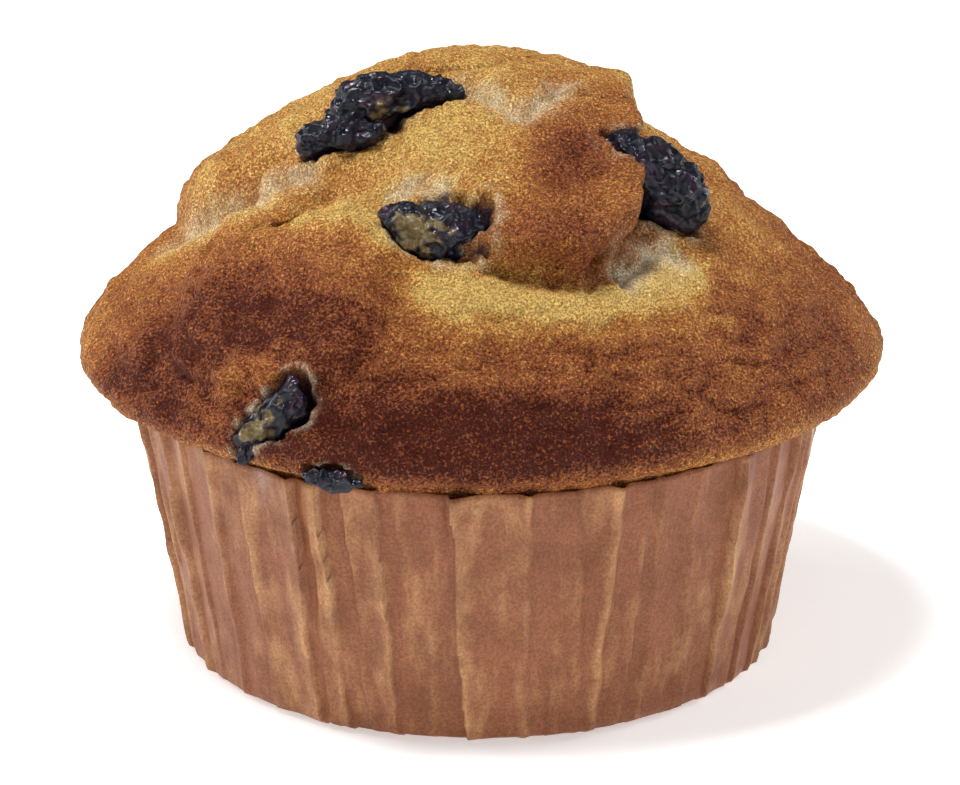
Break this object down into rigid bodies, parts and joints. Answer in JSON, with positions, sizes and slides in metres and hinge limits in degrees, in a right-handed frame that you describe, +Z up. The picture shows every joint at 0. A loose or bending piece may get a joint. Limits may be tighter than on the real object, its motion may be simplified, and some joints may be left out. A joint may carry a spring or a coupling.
{
  "type": "blueberry muffin in a paper case",
  "caption": "Domed blueberry muffin with a cracked golden crown, burst berries and a pleated brown paper case round its base.",
  "frame": {"origin": "centre of the muffin's box, at the foot of the paper case, on the surface it stands on", "axes": "+Z up through the crown, +X to the muffin's wider right side, +Y towards its back, so the front with the visible berries faces -Y"},
  "size_m": [0.0784, 0.0755, 0.0599],
  "materials": {
    "baked_crust": "matt golden to reddish brown baked crust with fine sugary grain and pale crumb in its cracks",
    "greaseproof_paper": "thin pleated paper, browned and slightly see-through where the cake has greased it",
    "berry_skin": "moist wrinkled blue-black berry skin with uneven gloss"
  },
  "bodies": {
    "root": {"muffin": "baked_crust", "paper_case": "greaseproof_paper", "blueberry_top": "berry_skin", "blueberry_top_small": "berry_skin", "blueberry_right": "berry_skin", "blueberry_front": "berry_skin", "blueberry_low_left": "berry_skin", "blueberry_under_lip": "berry_skin", "blueberry_back_left": "berry_skin", "blueberry_back_right": "berry_skin", "blueberry_back_low": "berry_skin"}
  },
  "joints": []
}
